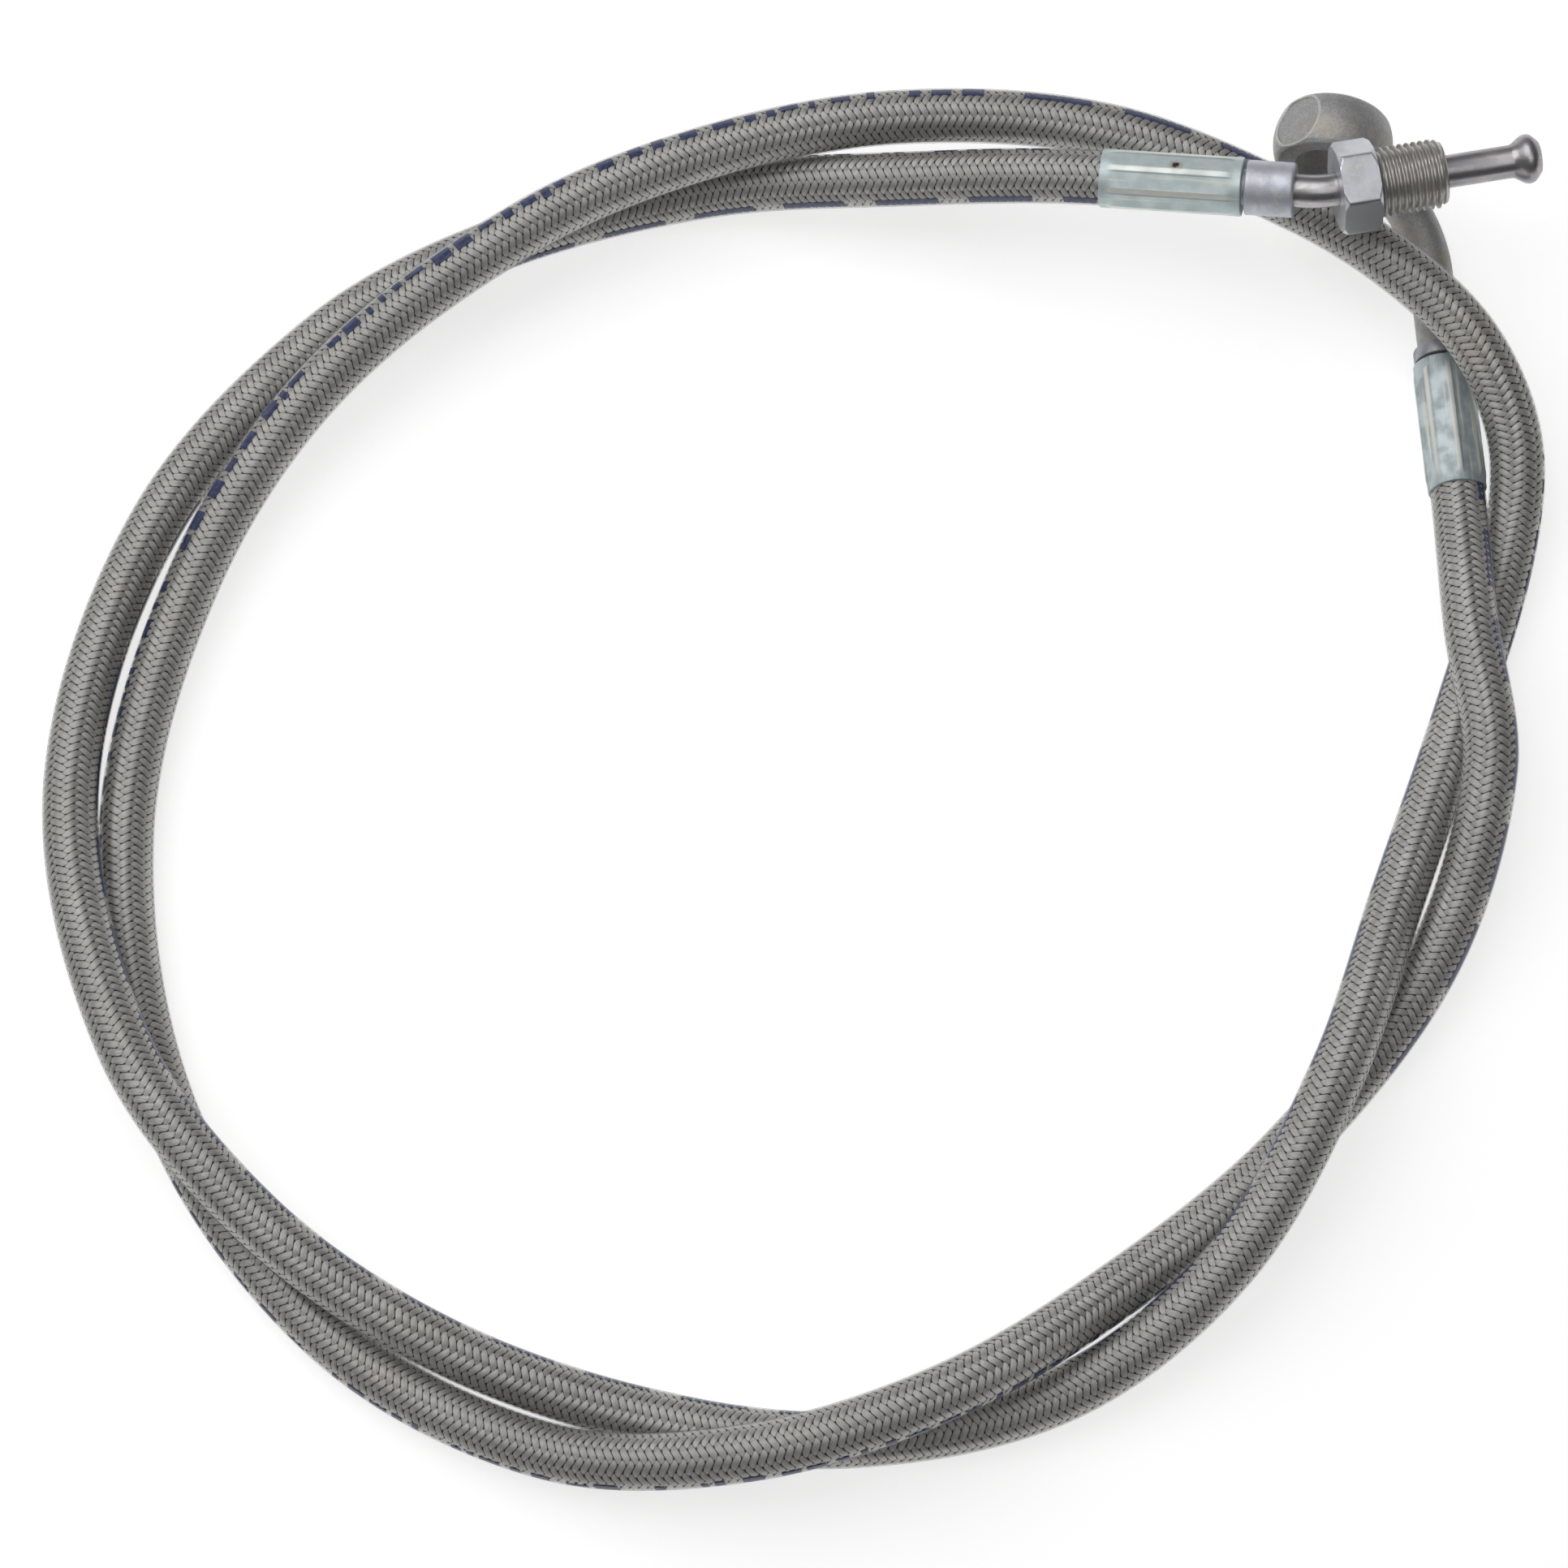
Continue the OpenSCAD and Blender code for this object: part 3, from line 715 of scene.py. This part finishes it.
def insert(name, node_name, place, material, radius, length, bore, edge, edge_count):
    """A smooth collar with a rounded edge, on its barbed shank. bore is the collar's profile inside."""
    profile = (bore + arc(radius - edge, length - edge, edge, 90, 0, edge_count)
               + arc(radius - 0.2, 0.2, 0.2, 0, -90, 4) + shank_profile(COLLAR_GAP + FERRULE_LIP))
    points, faces = revolve(dense(profile, step=0.6))
    piece = build(name, points, faces, material, place=place)
    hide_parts(node_name)


# ---------------------------------------------------------------- flared tube and its nut

def flared_tube(material):
    """Steel tube with its slight bend, and a bubble flare with a rolled rim."""
    start = MALE_COLLAR + (COLLAR_LEN - SOCKET) * MM * MALE_DIR
    bend_start = TUBE_CORNER - TUBE_CUT * MM * MALE_DIR
    side = unit(NUT_DIR - math.cos(TUBE_TURN) * MALE_DIR)
    rings = 13
    curve, curve_dirs = bend(bend_start, MALE_DIR, side, TUBE_BEND_R, TUBE_TURN, rings)
    # Distance from the tube's end, and radius: up over the flare's rim and back inside it to the bore
    flare = [(-12, TUBE_R), (-4.3, TUBE_R), (-3.9, 2.46), (-3.3, 2.85), (-2.8, 3.2), (-2.4, 3.42),
             (-2.05, 3.53), (-1.7, 3.55), (-1.35, 3.5), (-1.05, 3.36), (-0.6, 2.95), (-0.2, 2.52),
             (-0.04, 2.3), (0, 2.15), (-0.03, 1.95), (-0.3, 1.78), (-0.8, TUBE_BORE_R)]
    z, radii = np.array(flare).T
    tip = TUBE_CORNER + np.outer((TUBE_REACH + z) * MM, NUT_DIR)
    points = np.vstack([start, curve, tip])
    dirs = np.vstack([MALE_DIR, curve_dirs, np.tile(NUT_DIR, (len(tip), 1))])
    radii = np.concatenate([np.full(rings + 1, TUBE_R), radii])
    back = np.arange(rings + 1, -1, -1)
    points, dirs = np.vstack([points, points[back]]), np.vstack([dirs, dirs[back]])
    radii = np.concatenate([radii, np.full(len(back), TUBE_BORE_R)])
    place = frame_at(start, MALE_DIR)
    skin = seen_from(place, sweep(points, dirs, radii, np.cross(MALE_DIR, NUT_DIR), sides=96))
    piece = build("steel_tube", skin, ring_faces(len(points), 96, closed=True), material,
                  place=place, sharp=30)
    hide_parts("flared_tube")


def nut_shape(r, z, angle):
    """Flattens the head to a hexagon and turns the threaded end into a helix."""
    off = angle % (math.pi / 3) - math.pi / 6
    hexagon = np.minimum(HEX_FLATS / 2 / np.cos(off), HEX_CORNER_R - 0.12)
    head = (z <= THREAD_START + 1e-6) & (r > THREAD_R + 0.3)
    threaded = (z > THREAD_START + 1e-6) & (r > THREAD_ROOT_R - 0.05)
    run_out = smooth((z - THREAD_START) / 0.8) * smooth((THREAD_END - z) / 1.2)
    phase = (z / PITCH - angle / (2 * math.pi)) % 1.0
    crest = smooth(1.3 - np.abs(phase - 0.5) / 0.3)
    helix = THREAD_ROOT_R + crest * run_out * (THREAD_R - THREAD_ROOT_R)
    return np.where(head, np.minimum(r, hexagon), np.where(threaded, helix, r)), z


def tube_nut(material):
    chamfer = 0.7
    steps = np.linspace(0, 1, 9)
    profile = [(NUT_BORE_R, THREAD_END), (NUT_BORE_R, HEX_START), (NUT_BORE_R + 0.25, HEX_START)]
    profile += [(HEX_CORNER_R - chamfer + chamfer * t, HEX_START + chamfer * t) for t in steps]
    profile += [(HEX_CORNER_R, THREAD_START - chamfer - (HEX_LEN - 2 * chamfer) * t) for t in steps[-2:0:-1]]
    profile += [(HEX_CORNER_R - chamfer * t, THREAD_START - chamfer + chamfer * t) for t in steps]
    profile += [(THREAD_ROOT_R + 0.5, THREAD_START), (THREAD_ROOT_R, THREAD_START)]
    profile += [(THREAD_R, z) for z in np.linspace(THREAD_START + 0.03, THREAD_END - 0.03, 16 * TURNS + 1)]
    profile += [(THREAD_ROOT_R - 0.1, THREAD_END)]
    points, faces = revolve(profile, sides=144, shape=nut_shape)
    turned = frame_at(TUBE_CORNER, NUT_DIR) @ Matrix.Rotation(math.radians(HEX_ROLL), 4, "Z")
    piece = build("nut_threaded", points, faces, material, NUT, place=turned, sharp=25)
    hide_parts("tube_nut")


# ---------------------------------------------------------------- banjo eye

def combine(target, other, operation):
    """target's mesh after a boolean with other, which is removed."""
    tool = target.modifiers.new("combine", "BOOLEAN")
    tool.operation, tool.object, tool.solver = operation, other, "EXACT"
    result = bpy.data.meshes.new_from_object(target.evaluated_get(bpy.context.evaluated_depsgraph_get()))
    target.modifiers.clear()
    target.data = result
    bpy.data.objects.remove(other)


def neck_rod(radius_at, first, sides=72):
    """A solid rod along the neck from `first` mm out of the eye's centre, in the eye's own space."""
    start = np.linspace(first, NECK_FIRST, 15)[:-1]
    straight = EYE_CENTRE + np.outer(start * MM, NECK_DIR)
    rings = 33
    curve, curve_dirs = bend(NECK_BEND_START, NECK_DIR, NECK_SIDE, NECK_BEND_R, NECK_TURN, rings)
    last = np.linspace(0, NECK_LAST, 9)[1:]
    end = NECK_BEND_END + np.outer(last * MM, HOSE_END_DIR)
    points = np.vstack([straight, curve, end])
    dirs = np.vstack([np.tile(NECK_DIR, (len(start), 1)), curve_dirs, np.tile(HOSE_END_DIR, (len(last), 1))])
    out = np.concatenate([start, NECK_FIRST + np.linspace(0, NECK_BEND_R * NECK_TURN, rings),
                          NECK_FIRST + NECK_BEND_R * NECK_TURN + last])
    skin = sweep(points, dirs, [radius_at(x) for x in out], np.cross(NECK_DIR, HOSE_END_DIR), sides)
    faces = ring_faces(len(points), sides).tolist()
    faces += [list(range(sides)), list(range(len(skin) - sides, len(skin)))]
    return seen_from(EYE_PLACE, skin), faces


def cut_small_flat(piece):
    """Cuts the small round flat opposite the neck, with a fine raised rim."""
    bm = bmesh.new()
    bm.from_mesh(piece.data)
    bmesh.ops.bisect_plane(bm, geom=bm.verts[:] + bm.edges[:] + bm.faces[:], dist=1e-7,
                           plane_co=(-EYE_FLAT * MM, 0, 0), plane_no=(-1, 0, 0), clear_outer=True)
    open_edges = [e for e in bm.edges if e.is_boundary]
    caps = bmesh.ops.contextual_create(bm, geom=open_edges)["faces"]
    bmesh.ops.inset_region(bm, faces=caps, thickness=0.3 * MM, depth=0.05 * MM)
    bmesh.ops.inset_region(bm, faces=caps, thickness=0.15 * MM, depth=-0.17 * MM)
    bmesh.ops.recalc_face_normals(bm, faces=bm.faces)
    bm.to_mesh(piece.data)
    bm.free()


def banjo(material):
    edge = 0.35
    seat_r = math.sqrt(EYE_R**2 - EYE_HALF**2)
    half_turn = math.degrees(math.asin((EYE_HALF - edge) / EYE_R))
    profile = ([(EYE_BORE_R, -EYE_HALF + 0.3), (EYE_BORE_R, EYE_HALF - 0.3), (EYE_BORE_R + 0.3, EYE_HALF)]
               + arc(seat_r - edge, EYE_HALF - edge, edge, 90, half_turn + 15, 5)
               + arc(0, 0, EYE_R, half_turn - 1, -half_turn + 1, 41)
               + arc(seat_r - edge, -EYE_HALF + edge, edge, -half_turn - 15, -90, 5)
               + [(EYE_BORE_R + 0.3, -EYE_HALF)])
    eye = closed_object("banjo_forging", *revolve(dense(profile, step=0.5), sides=128))
    cut_small_flat(eye)
    flared_neck = neck_rod(lambda x: NECK_R + 1.5 * math.exp(-((x - 6.6) / 1.5) ** 2), 6.2)
    combine(eye, closed_object("neck", *flared_neck), "UNION")
    combine(eye, closed_object("passage", *neck_rod(lambda x: OIL_R, 2.0, sides=24)), "DIFFERENCE")
    piece = finish_object(eye, material, ROOT, EYE_PLACE, sharp=20)
    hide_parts("banjo_eye")


def fittings():
    rust_turn = math.radians(-14)
    rust_at = (4.3 * MM * math.cos(rust_turn), 4.3 * MM * math.sin(rust_turn), 10.9 * MM)
    plate = dict(cool=(0.66, 0.74, 0.75, 1), warm=(0.84, 0.83, 0.74, 1), dark=(0.56, 0.65, 0.66, 1),
                 streak=0.04, rough=(0.5, 0.62), metallic=0.6, crimped_ends=True)
    # The banjo's ferrule takes a darker copy of the same plate as painted shade.
    shaded_plate = {**plate, "cool": (0.52, 0.585, 0.60, 1), "dark": (0.36, 0.41, 0.43, 1)}
    ferrule("crimp_ferrule_male", "ferrule_male", frame_at(MALE_MOUTH, MALE_DIR),
            zinc("zinc_ferrule_male", spot=rust_at, **plate))
    ferrule("crimp_ferrule_banjo", "ferrule_banjo", frame_at(BANJO_MOUTH, -HOSE_END_DIR),
            zinc("zinc_ferrule_banjo", **shaded_plate))
    insert("collar_male", "insert_male", frame_at(MALE_COLLAR, MALE_DIR),
           zinc("zinc_collar", cool=(0.60, 0.62, 0.69, 1), warm=(0.70, 0.66, 0.63, 1),
                dark=(0.53, 0.54, 0.60, 1), streak=1.0, rough=(0.48, 0.6), metallic=0.7),
           COLLAR_R, COLLAR_LEN, edge=0.45, edge_count=6,
           bore=[(OIL_R, COLLAR_LEN - SOCKET), (TUBE_R, COLLAR_LEN - SOCKET), (TUBE_R, COLLAR_LEN)])
    insert("collar_banjo", "insert_banjo",
           frame_at(BAND_START + BAND_LEN * MM * HOSE_END_DIR, -HOSE_END_DIR),
           zinc("zinc_band", cool=(0.40, 0.41, 0.45, 1), warm=(0.50, 0.46, 0.42, 1),
                dark=(0.30, 0.30, 0.33, 1), streak=1.0, rough=(0.42, 0.55), metallic=0.8),
           BAND_R, BAND_LEN, edge=0.3, edge_count=5, bore=[(OIL_R, BAND_LEN)])
    flared_tube(zinc("tube_steel", cool=(0.44, 0.43, 0.445, 1), warm=(0.54, 0.50, 0.45, 1),
                     dark=(0.37, 0.36, 0.375, 1), streak=0.3, rough=(0.26, 0.38), metallic=0.85))
    tube_nut(zinc("zinc_nut", cool=(0.60, 0.62, 0.66, 1), warm=(0.67, 0.65, 0.61, 1),
                  dark=(0.54, 0.55, 0.58, 1), streak=1.0, rough=(0.32, 0.44), metallic=0.75, threaded=True))
    banjo(forged())


fittings()


# ---------------------------------------------------------------- floor and light

def floor():
    size, height = 3.0, -0.0002
    mesh = bpy.data.meshes.new("floor")
    bm = bmesh.new()
    bmesh.ops.create_grid(bm, x_segments=4, y_segments=4, size=size)
    bm.to_mesh(mesh)
    bm.free()
    keep_own_place(mesh)
    made = bpy.data.objects.new("floor", mesh)
    made.location = (0, 0, height)
    mesh.materials.append(floor_paper())
    bpy.context.scene.collection.objects.link(made)


def soft_box(name, place, size, power):
    lamp = bpy.data.lights.new(name, "AREA")
    lamp.shape, lamp.size, lamp.energy = "DISK", size, power
    made = bpy.data.objects.new(name, lamp)
    made.location = place
    made.rotation_mode = "QUATERNION"
    made.rotation_quaternion = (Vector(MIDDLE) - Vector(place)).to_track_quat("-Z", "Y")
    bpy.context.scene.collection.objects.link(made)


def sky():
    """Bright overhead and behind the object, darker low down in front of it."""
    world = bpy.data.worlds.new("studio")
    bpy.context.scene.world = world
    world.use_nodes = True
    tree = world.node_tree
    toward = node(tree, "ShaderNodeTexCoord").outputs["Generated"]
    lift = vector_maths(tree, "DOT_PRODUCT", toward, (-0.45, 0.5, 0.74))
    tree.links.new(ramp(tree, lift, -0.2, 0.6, 0.5, 2.3), tree.nodes["Background"].inputs["Strength"])


floor()
soft_box("key", (-0.5, 0.35, 0.9), size=1.1, power=7)
soft_box("fill", (0.02, -0.25, 1.0), size=0.8, power=1.7)
sky()
bpy.context.scene.view_settings.view_transform = "Standard"
